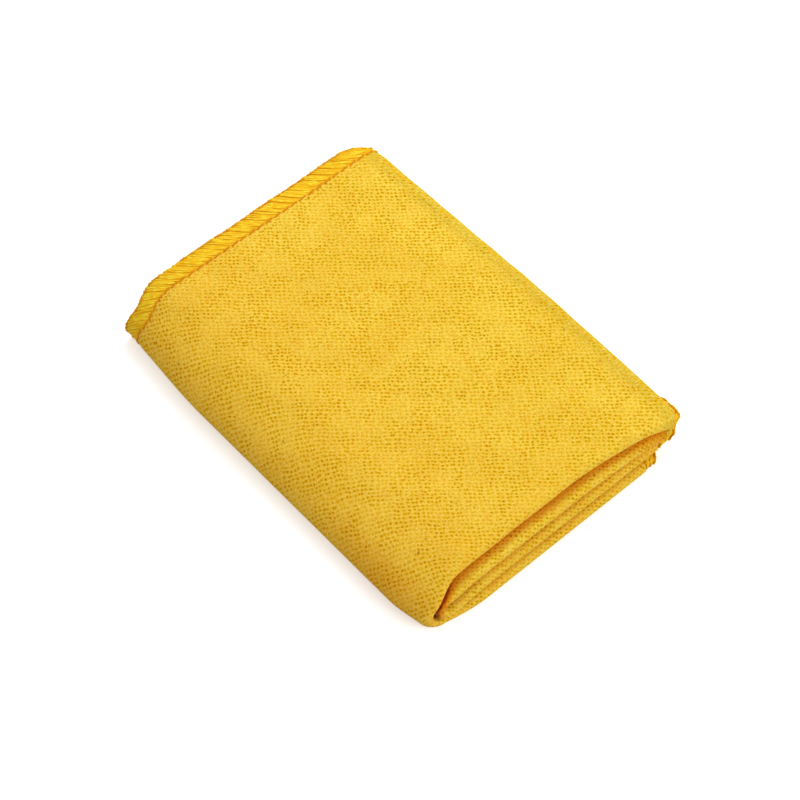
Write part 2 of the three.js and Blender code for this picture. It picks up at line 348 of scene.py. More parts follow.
# %% [markdown]
# ## Turning points into pieces
# A sheet that bends in two ways at once is easier to write as points and faces than to push and pull by
# hand. These helpers make such a mesh: rings of points joined by four-sided faces, closed at both ends,
# smooth where it is round, and with every face turned outward. Each mesh also carries the flat cloth's
# measure, so that the weave is drawn as it was woven, before folding.

# %% Mesh helpers
SHARP_ANGLE = math.radians(55)


def mesh_object(name, points, faces, uvs, marks):
    """A mesh with its flat measure, and with a number on each point for each mark."""
    mesh = bpy.data.meshes.new(name)
    mesh.from_pydata([tuple(p) for p in points], [], faces)
    layer = mesh.uv_layers.new(name="flat")
    corners = np.empty(len(mesh.loops), dtype=np.int32)
    mesh.loops.foreach_get("vertex_index", corners)
    layer.data.foreach_set("uv", np.asarray(uvs, np.float32)[corners].ravel())
    for key, values in marks.items():
        mark = mesh.attributes.new(key, "FLOAT", "POINT")
        mark.data.foreach_set("value", np.asarray(values, np.float32))
    mesh.polygons.foreach_set("use_smooth", [True] * len(mesh.polygons))
    mesh.set_sharp_from_angle(angle=SHARP_ANGLE)
    mesh.update()
    thing = bpy.data.objects.new(name, mesh)
    bpy.context.collection.objects.link(thing)
    return thing


def ring_faces(rings, count):
    """Faces between rings of points, and the two ends closed with strips."""
    i = np.arange(count)
    j = (i + 1) % count
    quads = [np.stack([r * count + i, r * count + j, (r + 1) * count + j, (r + 1) * count + i], 1)
             for r in range(rings - 1)]
    faces = np.concatenate(quads).tolist()
    last = (rings - 1) * count
    for k in range(count // 2 - 1):
        m = count - 1 - k
        faces.append([k, m, m - 1, k + 1])
        faces.append([last + k, last + k + 1, last + m - 1, last + m])
    return faces


def outward(thing):
    bpy.ops.object.select_all(action="DESELECT")
    thing.select_set(True)
    bpy.context.view_layer.objects.active = thing
    bpy.ops.object.mode_set(mode="EDIT")
    bpy.ops.mesh.select_all(action="SELECT")
    bpy.ops.mesh.normals_make_consistent(inside=False)
    bpy.ops.object.mode_set(mode="OBJECT")
    return thing


print("a tube of 3 rings of 4 points has", len(ring_faces(3, 4)), "faces")

# %% [markdown]
# ## The section of a leaf
# Cut from near to far, a leaf is two plies with a round nose. The outside has a fine grid, because light
# falls on it; the hidden inside needs few faces. Beside the hem the needle pulls the cloth down a little,
# deeper at each stitch, as sewing does on a soft cloth.

# %% The section of a leaf
OUTSIDE = np.linspace(1, 0, 110)
INSIDE = np.linspace(1, 0, 28)
NOSE = np.linspace(0.5, 1.5, 22)[1:-1] * math.pi
NOSE_IN = np.linspace(1.5, 0.5, 10)[1:-1] * math.pi
QUARTER = 1.57
ROLL_REACH = 12.0
PULL, PULL_WAVE, PULL_REACH = 0.26, 0.08, 2.4


def leaf_section(half, setback, roll, forward, s):
    """Depths, offsets and cloth measure of the points round one station of a leaf."""
    ply = PLY / LEAF * half * 2
    radius = half + roll / 2
    inner = radius - ply
    nose_y = NEAR + setback - forward + radius
    far_y = NEAR + setback + LEAF_DEPTH - HEM_WIDTH
    out, inn = mix(nose_y, far_y, OUTSIDE), mix(nose_y, far_y, INSIDE)

    def rolled(y):
        return roll * smooth(1 - (y - nose_y) / ROLL_REACH)

    pull = PULL + PULL_WAVE * math.cos(2 * math.pi * s / STITCH)
    pull = pull * smooth(1 - (far_y - out) / PULL_REACH)
    y = np.concatenate([out, nose_y + radius * np.cos(NOSE), out[::-1],
                        inn, nose_y + inner * np.cos(NOSE_IN), inn[::-1]])
    n = np.concatenate([half - pull,
                        -roll / 2 + radius * np.sin(NOSE),
                        -half - rolled(out[::-1]) + pull[::-1],
                        -half - rolled(inn) + ply,
                        -roll / 2 + inner * np.sin(NOSE_IN),
                        half - ply + 0 * inn])
    v = np.concatenate([out - nose_y + radius * QUARTER,
                        (math.pi - NOSE) * radius,
                        -(out[::-1] - nose_y) - radius * QUARTER,
                        -(inn - nose_y) - radius * QUARTER,
                        (math.pi - NOSE_IN) * radius,
                        inn[::-1] - nose_y + radius * QUARTER])
    return y, n, v


print("points round a leaf:", len(leaf_section(HALF, 0.0, 0.0, 0.0, 0.0)[0]))

# %% [markdown]
# ## Painted shade where the cloth lies deep
# Between two leaves light bounces from yellow to yellow, and each bounce makes it redder: the grooves at
# the near side are orange, and the mouth of the left fold is brown. The bounces alone come out too pale
# here, so the shade is painted on with two marks on the points: a groove mark, painted shade that the
# finish turns into a deeper colour under each leaf's nose, on the steep flank of the outer fold and in its
# mouth, and a crease mark, painted shade for the sharply bent cloth at the right side and at the left tip.
# Such painted shade stays when the light or the fold changes: it ends a little way in, but still shows
# beside the opened folds.

# %% Painted shade marks for grooves, flank, mouth and creases
# For a leaf with another above it: that leaf, the width and depth of the painted shade in its groove, and
# which of its sides is up
ABOVE = {"second": ("top", 3.1, 0.9, -1), "left_inner": ("top", 3.1, 0.9, -1),
         "third": ("second", 2.6, 0.24, 1), "bottom": ("third", 3.0, 0.22, -1)}
MARK_END, MARK_FADE = 15, 7
OVERHANG = 0.4
# Painted shade: width and depth in the inner corner's groove, strength on the outer fold's flank and in its
# mouth
CORNER_GROOVE_SHADE = (2.9, 2.4)
FLANK_SHADE, MOUTH_SHADE = 0.42, 2.0


def outer_fold_shade_mark(x, y, n, near_share):
    """Painted shade, a little on the outer fold's steep flank and the most inside its mouth, behind its
    lip.
    """
    flank_shade = FLANK_SHADE * smooth((LEFT + 10 - x) / 8) * (0.25 + 0.75 * smooth((NEAR + 50 - y) / 40))
    flank_shade = flank_shade * (0.35 + 0.65 * smooth((y - NEAR - 4) / 12))
    lip = smooth((y - NEAR - 2.8) / 2.6)
    inside = MOUTH_SHADE * smooth((-0.1 - n) / 0.7) * smooth((LEFT + 9 - x) / 3.0)
    return np.where(n > -0.1, flank_shade, inside * lip * near_share)


def painted_shade_mark(run, x, y, n):
    """Painted shade by how deep a point lies: about 1 under the nose of the leaf above, and 2 in the fold's
    mouth.
    """
    near_share = smooth((NEAR + MARK_END - y) / MARK_FADE)
    if run == "left_outer":
        return outer_fold_shade_mark(x, y, n, near_share)
    if run not in ABOVE:
        return 0 * y
    name, width, depth, upper = ABOVE[run]
    line = NEAR + SETBACK[name] - FORWARD[name] * corner_share(RIGHT_TURN_X - x, FORWARD_REACH)
    if name == "top":
        line -= (SETBACK["top"] - TIP_SETBACK) * smooth((LEFT + 14.5 - x) / 11)
        corner = smooth((INNER_X + 9 - x) / 10)
        width, depth = mix(width, CORNER_GROOVE_SHADE[0], corner), mix(depth, CORNER_GROOVE_SHADE[1], corner)
    return depth * smooth(1 - (line + OVERHANG - y) / width) * near_share * (n * upper > -0.3)


def crease_shade_mark(run, x, z, n):
    """Painted shade where the cloth bends sharply: at the right side, and low at the left tip."""
    at_right = smooth((x - RIGHT + 7.0) / 5.0)
    at_tip = smooth((LEFT + 4.0 - x) / 4.0) * smooth((7 - z) / 4)
    return max(at_right, at_tip) * ((run != "left_outer") | (n > -0.1))


print("grooves on", sorted(ABOVE), "and left_outer")

# %% [markdown]
# ## The cloth
# Now each stretch of the path becomes one closed solid: a ring of points at every station, joined to the
# next. Two leaves end short of the path's ends, because a hem takes the last millimetres there. The seven
# pieces are one panel on the real cloth, and they are only parted where a fold has to bend.

# %% Making the leaves and the folds
CLOTH = {
    "duster_leaf_top": ("top", "leaf_top"),
    "duster_leaf_second": ("second", "leaf_second"),
    "duster_leaf_third": ("third", "leaf_third"),
    "duster_leaf_bottom": ("bottom", "leaf_bottom"),
    "duster_fold_left_outer": ("left_outer", "fold_left_outer"),
    "duster_fold_left_inner": ("left_inner", "fold_left_inner"),
    "duster_fold_right": ("right", "fold_right"),
}
CLEAR = 0.2


def make_cloth(piece, run):
    first, last = span[run]
    if run == "bottom":
        first += HEM_WIDTH
    if run == "third":
        last -= HEM_WIDTH
    inside = path[(path[:, 0] > first + CLEAR) & (path[:, 0] < last - CLEAR), 0]
    stations = np.concatenate([[first], inside, [last]])
    points, uvs, crease_shades, painted_shades = [], [], [], []
    for s in stations:
        x, z, half, setback, roll, forward, _, _ = station(s)
        y, n, v = leaf_section(half, setback, roll, forward, s)
        points.append(fold(s, y, n))
        uvs.append(np.stack([s + 0 * v, v - forward], 1) / 1000)
        crease_shades.append(crease_shade_mark(run, x, z, n))
        painted_shades.append(painted_shade_mark(run, x, y, n))
    faces = ring_faces(len(stations), len(points[0]))
    marks = {"crease_shade": np.concatenate(crease_shades), "painted_shade": np.concatenate(painted_shades)}
    return outward(mesh_object(piece, np.concatenate(points), faces, np.concatenate(uvs), marks))


cloth = {piece: make_cloth(piece, run) for piece, (run, _) in CLOTH.items()}
print("cloth faces", {piece: len(thing.data.polygons) for piece, thing in cloth.items()})

# %% [markdown]
# ## The overlocked hem
# An overlock sews over the raw edge. A needle thread runs along the inside, and two looper threads cross
# from it to the edge, wrap round it and come back on the other face. A hem is drawn flat, with t along
# it, u across it from the needle line, and h off the cloth. These maps bend that into the pack, with the
# cloth's own functions. The end hem of the third leaf flares a little at its corner, where the photo
# shows it sticking out of the pack.

# %% Mapping the hems
FLARE, FLARE_START = 3.9, 4.6


def far_hem(side):
    """Maps a hem on the far side, on the ply at that side of the path, to the folded pack."""
    def place(t, u, h):
        _, _, half, setback, _, _, _, _ = station(t)
        offset = (LEAF - PLY) / LEAF * half + h * half / HALF
        return fold(t, NEAR + setback + LEAF_DEPTH - HEM_WIDTH + u, side * offset)
    return place


def end_hem(name):
    """The same for the hem of a free end. t is 0 at the nose, positive along the upper ply."""
    x0 = END_X[name]
    z0 = float(level(name, x0))
    radius = (LEAF - PLY) / LEAF * HALF
    nose_y = NEAR + SETBACK[name] + HALF
    bend = radius * math.pi / 2

    def place(t, u, h):
        t, u, h = np.broadcast_arrays(np.asarray(t, float), u, h)
        turn = np.clip(t / radius, -math.pi / 2, math.pi / 2)
        straight = np.clip(np.abs(t) - bend, 0, None)
        y = nose_y + straight - (radius + h) * np.cos(turn)
        z = z0 + (radius + h) * np.sin(turn)
        fan = 0
        if name == "third":
            fan = smooth((13 - straight) / 5) * smooth((straight + 1.2) / 3) * (t > 0)
        return settle(x0 - HEM_WIDTH + u + FLARE * fan * np.clip(u / FLARE_START, 0, 1), y, z)
    return place


print("end hems at x", END_X)

# %% [markdown]
# ## Yarn and band
# Yarn could be a curve with a bevel, but a mesh of its own can be flattened and made thicker at each
# point. A strand is a flattened tube with five sides: enough to look round at this size, and few enough
# to repeat hundreds of times. Each point also notes how near the rim it is, so the finish can paint shade
# on the line between strands and at a strand's ends. Under the yarn lies a closed strip with a rounded
# outer edge: the cloth's raw edge, padded by the threads that cover it.

# %% Tubes and bands
CORE = 0.42
END_TAPER = 0.45
BAND_STEP, BAND_INSET = 1.2, 0.35


def tube(line, wide, high, unshaded=(), sides=5):
    """A closed tube along points (t, u, h), flattened off the cloth: points, faces, measures and rim
    shades.
    """
    line = np.asarray(line, float)
    flow = np.gradient(line, axis=0)
    flow /= np.linalg.norm(flow, axis=1, keepdims=True)
    off = np.zeros_like(line)
    off[:, 2] = 1.0
    hint = np.where(np.abs(flow[:, 2:3]) > 0.8, [[0.0, 1.0, 0.0]], off)
    across = np.cross(flow, hint)
    across /= np.linalg.norm(across, axis=1, keepdims=True)
    lift = np.cross(across, flow)
    q = math.pi / 2 + np.arange(sides) * 2 * math.pi / sides
    taper = np.ones(len(line))
    taper[[0, -1]] = END_TAPER
    wide = (np.broadcast_to(wide, len(line)) * taper)[:, None, None]
    high = (np.broadcast_to(high, len(line)) * taper)[:, None, None]
    points = line[:, None] + across[:, None] * np.cos(q)[None, :, None] * wide
    points = points + lift[:, None] * np.sin(q)[None, :, None] * high
    along = np.concatenate([[0], np.cumsum(np.linalg.norm(np.diff(line, axis=0), axis=1))])
    uv = np.stack(np.broadcast_arrays(along[:, None], (q * 0.3)[None, :]), -1)
    faces = []
    for r in range(len(line) - 1):
        for k in range(sides):
            m = (k + 1) % sides
            faces.append([r * sides + k, r * sides + m, (r + 1) * sides + m, (r + 1) * sides + k])
    faces.append(list(range(sides))[::-1])
    faces.append([(len(line) - 1) * sides + k for k in range(sides)])
    # Painted shade: darkest at the tube's sides and ends, none on the unshaded rings
    rim_shade = np.repeat(np.abs(np.cos(q))[None], len(line), 0)
    rim_shade[[0, -1]] = 1.0
    rim_shade[list(unshaded)] = 0.0
    return points.reshape(-1, 3), faces, uv.reshape(-1, 2), rim_shade.ravel()


def band(t0, t1):
    """The padded strip under the yarn, as points, faces, measures and rim shades, full all over."""
    t = np.linspace(t0, t1, max(3, int(abs(t1 - t0) / BAND_STEP) + 2))
    q = np.linspace(math.pi / 2, -math.pi / 2, 7)
    edge = HEM_WIDTH - BAND_INSET - CORE
    u = np.concatenate([[0, 1.6, 3.2], edge + CORE * np.cos(q), [3.2, 1.6, 0]])
    h = np.concatenate([[CORE] * 3, CORE * np.sin(q), [-CORE] * 3])
    points = np.stack(np.broadcast_arrays(t[:, None], u[None, :], h[None, :]), -1)
    faces = ring_faces(len(t), len(u))
    return points.reshape(-1, 3), faces, points[..., :2].reshape(-1, 2), np.ones(points[..., 0].size)


print("a band of 10 mm has", len(band(0, 10)[1]), "faces")

# %% [markdown]
# ## A stitch
# Looper yarn is fluffy and spreads between the needle line and the edge, so each stitch is a leaf-shaped
# bundle of three strands, which lean along the hem. Beside them runs the needle thread on both faces,
# and near the edge the purl, where the two loopers cross. No two stitches are the same: each gets small
# random shifts, from a fixed seed, so that the hem comes out the same every time.

# %% The strands of a stitch, and the threads beside them
LEAN = 6.0
STRANDS = (-1.0, 0.0, 1.0)
STRAND_WIDE, STRAND_HIGH = 0.37, 0.26
STRAND_SWELL = np.array([0.75, 0.95, 1.2, 0.95, 0.8, 0.8, 0.8, 1.1, 0.9])
# The rings round the edge, which get no painted rim shade
STRAND_UNSHADED = range(4, 7)
FRONT_U, BACK_U = np.array([0.0, 0.9, 2.6, 4.6]), np.array([3.6, 1.2])
EDGE_INSET, EDGE_LIFT = 0.16, 0.26
# The needle thread: along the hem, across it, how much of the step from stitch to stitch, and off the cloth
NEEDLE = ((0.0, 0.2, 1.0, 0.1), (0.5, 0.15, 0.5, 0.5), (1.6, 0.1, 0.0, 0.58), (2.6, 0.05, -0.5, 0.5),
          (STITCH + 0.2, 0.05, -1.0, 0.1))
NEEDLE_STEP, NEEDLE_WIDE, NEEDLE_HIGH = 0.45, 0.21, 0.2
# The purl: along, across and off
PURL = ((0.0, 5.1, 0.3), (0.6, 4.95, 0.68), (1.6, 4.85, 0.73), (2.6, 4.75, 0.68), (STITCH + 0.1, 4.7, 0.3))
PURL_SHIFT, PURL_WIDE, PURL_HIGH = 0.84, 0.25, 0.14


def yarn_height(u):
    return 0.26 + 0.24 * smooth(u / 1.3) - 0.05 * smooth((u - 4.0) / 1.2)


def strand_line(t, lean, spread, rng):
    """One strand: across the outer face, round the edge and back across the inner face."""
    start = 0.55 * spread + rng.uniform(-0.15, 0.15)
    end = 0.75 * spread + rng.uniform(-0.25, 0.25)
    bow = 0.35 * spread + rng.uniform(-0.3, 0.3)
    u = FRONT_U
    shift = start + (lean + end - start) * u / HEM_WIDTH + bow * np.sin(math.pi * u / HEM_WIDTH)
    along = t + shift + rng.uniform(-0.12, 0.12, 4)
    front = np.stack([along, u, yarn_height(u) + rng.uniform(-0.1, 0.08, 4)], 1)
    edge_t = t + lean + end
    reach = HEM_WIDTH - EDGE_INSET - rng.uniform(0, 0.25)
    edge = np.array([[edge_t, reach - 0.1, EDGE_LIFT], [edge_t, reach, 0.0],
                     [edge_t + 0.2 * lean / HEM_WIDTH, reach - 0.1, -EDGE_LIFT]])
    along = t + start + lean * (1 + 0.25 * (1 - BACK_U / HEM_WIDTH))
    return np.concatenate([front, edge, np.stack([along, BACK_U, -yarn_height(BACK_U)], 1)])


def needle_line(t, step, face):
    return [[t + along, u + share * step, off * face] for along, u, share, off in NEEDLE]


def purl_line(t):
    return [[t + along, u, off] for along, u, off in PURL]


print("a strand has", len(FRONT_U) + 3 + len(BACK_U), "rings")

# %% [markdown]
# ## Sewing a stretch of hem
# The stitches lie on one count along the whole path, so they run on from a leaf into a fold. A stitch
# belongs to the stretch that its needle hole is on. At the inner turn the strands may not lean over into
# the next stretch, because there the fold bends when the pack opens, and a strand across the border would
# be pulled long. Everything is made flat, joined into one mesh, and bent at the end.

# %% Sewing a stretch
ANYWHERE = (-1000.0, 1000.0)
BAND, YARN, NEEDLE_THREAD, PURL_THREAD = range(4)


def stitch(parts, t, lean_sign, ends, within, rng):
    """Adds one stitch at t to the parts."""
    lean = lean_sign * (LEAN + rng.uniform(-0.5, 0.5))
    lean = np.clip(t + lean, *within) - t
    for spread in STRANDS:
        line = strand_line(t, lean, spread, rng)
        wide = STRAND_WIDE * rng.uniform(0.8, 1.2) * STRAND_SWELL
        parts.append((tube(line, wide, STRAND_HIGH, STRAND_UNSHADED), YARN))
    for face in (1, -1):
        line = needle_line(t, NEEDLE_STEP * lean_sign, face)
        parts.append((tube(line, NEEDLE_WIDE, NEEDLE_HIGH), NEEDLE_THREAD))
    t += PURL_SHIFT * lean
    if min(ends) < t and t + STITCH < max(ends):
        parts.append((tube(purl_line(t), PURL_WIDE, PURL_HIGH), PURL_THREAD))


def sew(piece, place, ends, lean_sign, seed, within=ANYWHERE):
    """A stretch of hem between two ends, with stitches that lean no further than within."""
    rng = np.random.default_rng(seed)
    parts = [(band(*ends), BAND)]
    first, last = math.ceil(min(ends) / STITCH), math.floor(max(ends) / STITCH - 1e-6)
    for k in range(first, last + 1):
        stitch(parts, k * STITCH + rng.uniform(-0.15, 0.15), lean_sign, ends, within, rng)
    points, faces, uvs, rim_shades, kinds, start = [], [], [], [], [], 0
    for (p, f, uv, rim_shade), kind in parts:
        points.append(p)
        faces += [[start + i for i in face] for face in f]
        uvs.append(uv + [0, 7.3 * len(points)])
        rim_shades.append(rim_shade)
        kinds += [kind] * len(f)
        start += len(p)
    points = np.concatenate(points)
    bent = place(points[:, 0], points[:, 1], points[:, 2])
    marks = {"rim_shade": np.concatenate(rim_shades)}
    thing = mesh_object(piece, bent, faces, np.concatenate(uvs) / 1000, marks)
    thing.data["kinds"] = kinds
    return outward(thing)


print("stitches every", STITCH, "mm, leaning", LEAN, "mm")

# %% [markdown]
# ## All the hems
# The far side has two hems on every leaf and fold, one on each ply, and the two free ends have one each,
# which runs along the lower ply, round the nose and back along the upper ply.

# %% Sewing every hem
FAR_HEMS = {
    "top": ("hem_top_upper", "hem_top_lower"),
    "second": ("hem_second_lower", "hem_second_upper"),
    "third": ("hem_third_upper", "hem_third_lower"),
    "bottom": ("hem_bottom_lower", "hem_bottom_upper"),
    "left_outer": ("hem_left_outer_outside", "hem_left_outer_inside"),
    "left_inner": ("hem_left_inner_inside", "hem_left_inner_outside"),
    "right": ("hem_right_outside", "hem_right_inside"),
}
STOP = {"second": (ANYWHERE[0], span["second"][1]), "left_inner": span["left_inner"],
        "third": (span["third"][0], ANYWHERE[1])}
END_SEEDS = {"third": 31, "bottom": 32}

hems = {}
for run, nodes in FAR_HEMS.items():
    for side, node in zip((1, -1), nodes):
        piece = node.replace("hem_", "overlock_")
        within = STOP.get(run, ANYWHERE)
        hems[node] = sew(piece, far_hem(side), span[run], -side, len(hems) + 1, within)
ply_run = LEAF_DEPTH - HEM_WIDTH - HALF + (LEAF - PLY) / LEAF * HALF * math.pi / 2
for name, seed in END_SEEDS.items():
    hems["hem_end_" + name] = sew("overlock_end_" + name, end_hem(name), (-ply_run, ply_run), 1, seed)
print("hem faces", sum(len(thing.data.polygons) for thing in hems.values()))

# %% [markdown]
# ## Materials
# The materials are drawn by nodes from the flat measure, with no picture. A node tree is easier to read
# when each kind of node is one short call, so the helpers come first. Colours are written as they look
# on a screen and turned into the linear values that the shader needs.

# %% Node helpers
def new_material(name):
    material = bpy.data.materials.new(name)
    material.use_nodes = True
    tree = material.node_tree
    return material, tree, tree.nodes["Principled BSDF"]


def add(tree, kind, inputs=None, **settings):
    made = tree.nodes.new(kind)
    for key, value in settings.items():
        setattr(made, key, value)
    for key, value in (inputs or {}).items():
        if isinstance(value, bpy.types.NodeSocket):
            tree.links.new(value, made.inputs[key])
        else:
            made.inputs[key].default_value = value
    return made


def maths(tree, operation, a, b=0.0, c=0.0):
    return add(tree, "ShaderNodeMath", {0: a, 1: b, 2: c}, operation=operation).outputs[0]


def vector_maths(tree, operation, inputs):
    return add(tree, "ShaderNodeVectorMath", inputs, operation=operation).outputs[0]


def remap(tree, value, low, high, to_low=0.0, to_high=1.0):
    inputs = {0: value, 1: low, 2: high, 3: to_low, 4: to_high}
    return add(tree, "ShaderNodeMapRange", inputs, interpolation_type="SMOOTHSTEP").outputs[0]


def noise(tree, vector, scale, detail, roughness=0.5):
    """Clouds on the flat cloth: outputs[0] is their value and outputs[1] their colour."""
    inputs = {"Vector": vector, "Scale": scale, "Detail": detail, "Roughness": roughness}
    return add(tree, "ShaderNodeTexNoise", inputs, noise_dimensions="2D").outputs


def mark(tree, name):
    return add(tree, "ShaderNodeAttribute", attribute_name=name).outputs["Fac"]


def blend_colour(tree, share, a, b, mode="MIX"):
    made = add(tree, "ShaderNodeMix", {0: share, 6: a, 7: b}, data_type="RGBA", blend_type=mode)
    return made.outputs[2]


def linear(*screen):
    low = [c / 255 / 12.92 for c in screen]
    high = [((c / 255 + 0.055) / 1.055) ** 2.4 for c in screen]
    return tuple(a if c < 11 else b for a, b, c in zip(low, high, screen)) + (1.0,)


SHEEN_TINT = linear(255, 225, 120)
print("a mid yellow is", [round(v, 3) for v in linear(252, 213, 68)])

# %% [markdown]
# ## The weave's lattice
# Twill shows slanting rows of small hollows between its threads, a little over a millimetre apart. The
# lattice turns the flat measure into steps along a row and across the rows. Rounding gives each hollow a
# cell of its own, and chance numbers from the cell shift it and weaken it. A slow drift bends the rows,
# because no hand-folded cloth keeps its threads straight.

# %% The lattice of hollows
DRIFT_SCALE, DRIFT = 0.22, 0.9
ALONG_ROW, ACROSS_ROWS = (0.668, -0.487), (0.600, 0.677)
SHIFT_ALONG, SHIFT_ACROSS = 0.60, 0.26
LONG, WIDE = 1.5, 1.7

cloth_material, tree, shader = new_material("napped_twill")
uv = add(tree, "ShaderNodeUVMap", uv_map="flat").outputs[0]
mm = vector_maths(tree, "MULTIPLY", {0: uv, 1: (1000, 1000, 1000)})
drift = noise(tree, mm, DRIFT_SCALE, 2.0)[1]
drift = vector_maths(tree, "SUBTRACT", {0: drift, 1: (0.5, 0.5, 0.5)})
drift = vector_maths(tree, "SCALE", {0: drift, "Scale": DRIFT})
place = add(tree, "ShaderNodeSeparateXYZ", {0: vector_maths(tree, "ADD", {0: mm, 1: drift})})


def lattice(direction):
    """Steps of the lattice in a direction over the cloth."""
    parts = [maths(tree, "MULTIPLY", place.outputs[i], direction[i]) for i in range(2)]
    return maths(tree, "ADD", *parts)


def from_hollow(steps, cell, chance, shift):
    """How far a point is from the hollow of its cell, when chance has shifted the hollow."""
    moved = maths(tree, "MULTIPLY_ADD", chance, shift, -shift / 2)
    return maths(tree, "ADD", maths(tree, "SUBTRACT", steps, cell), moved)


def squared(value):
    return maths(tree, "MULTIPLY", value, value)


q, p = lattice(ALONG_ROW), lattice(ACROSS_ROWS)
cell_q, cell_p = maths(tree, "ROUND", q), maths(tree, "ROUND", p)
cell = add(tree, "ShaderNodeCombineXYZ", {0: cell_p, 1: cell_q}).outputs[0]
chance = add(tree, "ShaderNodeTexWhiteNoise", {"Vector": cell}, noise_dimensions="2D").outputs["Color"]
chance = add(tree, "ShaderNodeSeparateXYZ", {0: chance}).outputs
row = squared(from_hollow(p, cell_p, chance[0], SHIFT_ACROSS))
along_row = squared(from_hollow(q, cell_q, chance[1], SHIFT_ALONG))
apart = maths(tree, "ADD", maths(tree, "MULTIPLY", row, WIDE), maths(tree, "MULTIPLY", along_row, LONG))
print("hollows", [round(1 / math.hypot(*d), 2) for d in (ALONG_ROW, ACROSS_ROWS)], "mm apart")

# %% [markdown]
# ## Hollows, nap and patches
# Each hollow has a dark middle and a ring of deeper yellow round it, where the yarn bends down, and a
# faint line joins the hollows of a row. The nap hides them in some places and is worn thin in others, so
# slow patches set how strongly they show. The nap itself is fine strands, some lighter, some darker.

# %% Hollows, nap and patches
HOLLOW_SIZE, RING_SIZE, ROW_SIZE = 0.22, 0.46, 0.10
RING_SHARE, ROW_SHARE, HIDDEN_SHARE = 0.75, 0.16, 0.5

strength = maths(tree, "MULTIPLY_ADD", chance[2], 0.45, 0.55)
dots = maths(tree, "MULTIPLY", remap(tree, apart, HOLLOW_SIZE, 0.0), strength)
dots = maths(tree, "MAXIMUM", dots, remap(tree, row, ROW_SIZE, 0.0, 0.0, ROW_SHARE))
worn = remap(tree, noise(tree, mm, 0.16, 3.0)[0], 0.38, 0.60, HIDDEN_SHARE, 1.0)
dots = maths(tree, "MULTIPLY", dots, worn)
ring = maths(tree, "MULTIPLY", remap(tree, apart, RING_SIZE, 0.05, 0.0, RING_SHARE), worn)
nap = noise(tree, mm, 2.2, 4.0, 0.75)[0]
slow = noise(tree, mm, 0.05, 3.0, 0.55)[0]
warm = noise(tree, mm, 0.35, 3.0, 0.7)[0]
fleck = noise(tree, mm, 0.55, 1.0)[0]
# Painted shade marks: on the creases, and in the grooves, the flank and the fold's mouth
crease_shade, shade_depth = mark(tree, "crease_shade"), mark(tree, "painted_shade")
print("the weave has", len(tree.nodes), "nodes so far")

# %% [markdown]
# ## The colours of the cloth
# The colours are laid over each other like washes: two yellows that change slowly, warmer patches, a
# warmer stretch beside the left turn that is painted bounce light from the cloth's own folds, the
# crease's dull painted shade, the nap's dark and light strands, the rings and hollows, and a rare dark
# fleck. The last two washes are painted shade, for the grooves with the outer fold's flank, and for the
# fold's mouth. They multiply, since that is what light does when it bounces there again.

# %% The colours of the cloth
YELLOW, LATE_YELLOW, WARM = linear(252, 213, 68), linear(248, 203, 58), linear(245, 183, 44)
# Painted bounce light beside the left turn, and the crease's painted shade
BOUNCE_WARMTH_COLOUR, CREASE_SHADE_COLOUR = linear(255, 190, 52), linear(198, 170, 48)
HOLLOW, WARM_HOLLOW, RING = linear(192, 144, 0), linear(212, 130, 0), linear(243, 196, 0)
NAP_DARK, NAP_LIGHT, FLECK = linear(176, 122, 6), linear(255, 230, 132), linear(120, 80, 20)
# Painted shade colours, multiplied in the grooves and in the fold's mouth
GROOVE_SHADE_COLOUR, MOUTH_SHADE_COLOUR = linear(237, 179, 84), linear(170, 90, 40)

along = place.outputs[0]
# Painted bounce light: a warmer stretch of the path beside the left turn, which also warms the hollows
# there
painted_bounce_warmth = maths(tree, "MULTIPLY", remap(tree, along, 62.0, 76.0, 0.0, 0.35),
                  remap(tree, along, 90.0, 165.0, 1.0, 0.0))
hollow_warmth = maths(tree, "ADD", remap(tree, warm, 0.45, 0.62, 0.0, 0.8),
                      maths(tree, "MULTIPLY", painted_bounce_warmth, 1.6))
hollow = blend_colour(tree, hollow_warmth, HOLLOW, WARM_HOLLOW)
WASHES = (
    (remap(tree, warm, 0.50, 0.68, 0.0, 0.42), WARM),
    # Painted bounce light beside the left turn
    (painted_bounce_warmth, BOUNCE_WARMTH_COLOUR),
    # Painted shade on the creases
    (maths(tree, "MULTIPLY", crease_shade, 0.6), CREASE_SHADE_COLOUR),
    (remap(tree, nap, 0.3, 0.5, 0.42, 0.0), NAP_DARK),
    (remap(tree, nap, 0.5, 0.70, 0.0, 0.9), NAP_LIGHT),
    (ring, RING),
    (dots, hollow),
    (remap(tree, fleck, 0.80, 0.86, 0.0, 0.6), FLECK),
)
colour = blend_colour(tree, remap(tree, slow, 0.36, 0.64), YELLOW, LATE_YELLOW)
for share, wash in WASHES:
    colour = blend_colour(tree, share, colour, wash)
# Painted shade: the grooves and the outer fold's flank, then the fold's mouth
colour = blend_colour(tree, shade_depth, colour, GROOVE_SHADE_COLOUR, mode="MULTIPLY")
colour = blend_colour(tree, remap(tree, shade_depth, 1.0, 2.0), colour, MOUTH_SHADE_COLOUR, mode="MULTIPLY")
tree.links.new(colour, shader.inputs["Base Color"])
print(len(WASHES) + 3, "washes of colour")

# %% [markdown]
# ## The surface of the cloth
# Napped cotton is matt and a little velvety: no shine, but a soft sheen from the ends of its fibres, less
# in the hollows, and less on the crease, where that deepens the crease's painted shade. The bump comes from
# the same hollows and nap as the colour, so the light and the colour agree.

# %% The surface of the cloth
SHEEN, CREASE_SHADE_SHEEN_LOSS, NAP_LIFT = 0.65, 0.4, 0.8
BUMP, BUMP_HEIGHT = 0.45, 0.00025

shader.inputs["Roughness"].default_value = 0.95
shader.inputs["Specular IOR Level"].default_value = 0.0
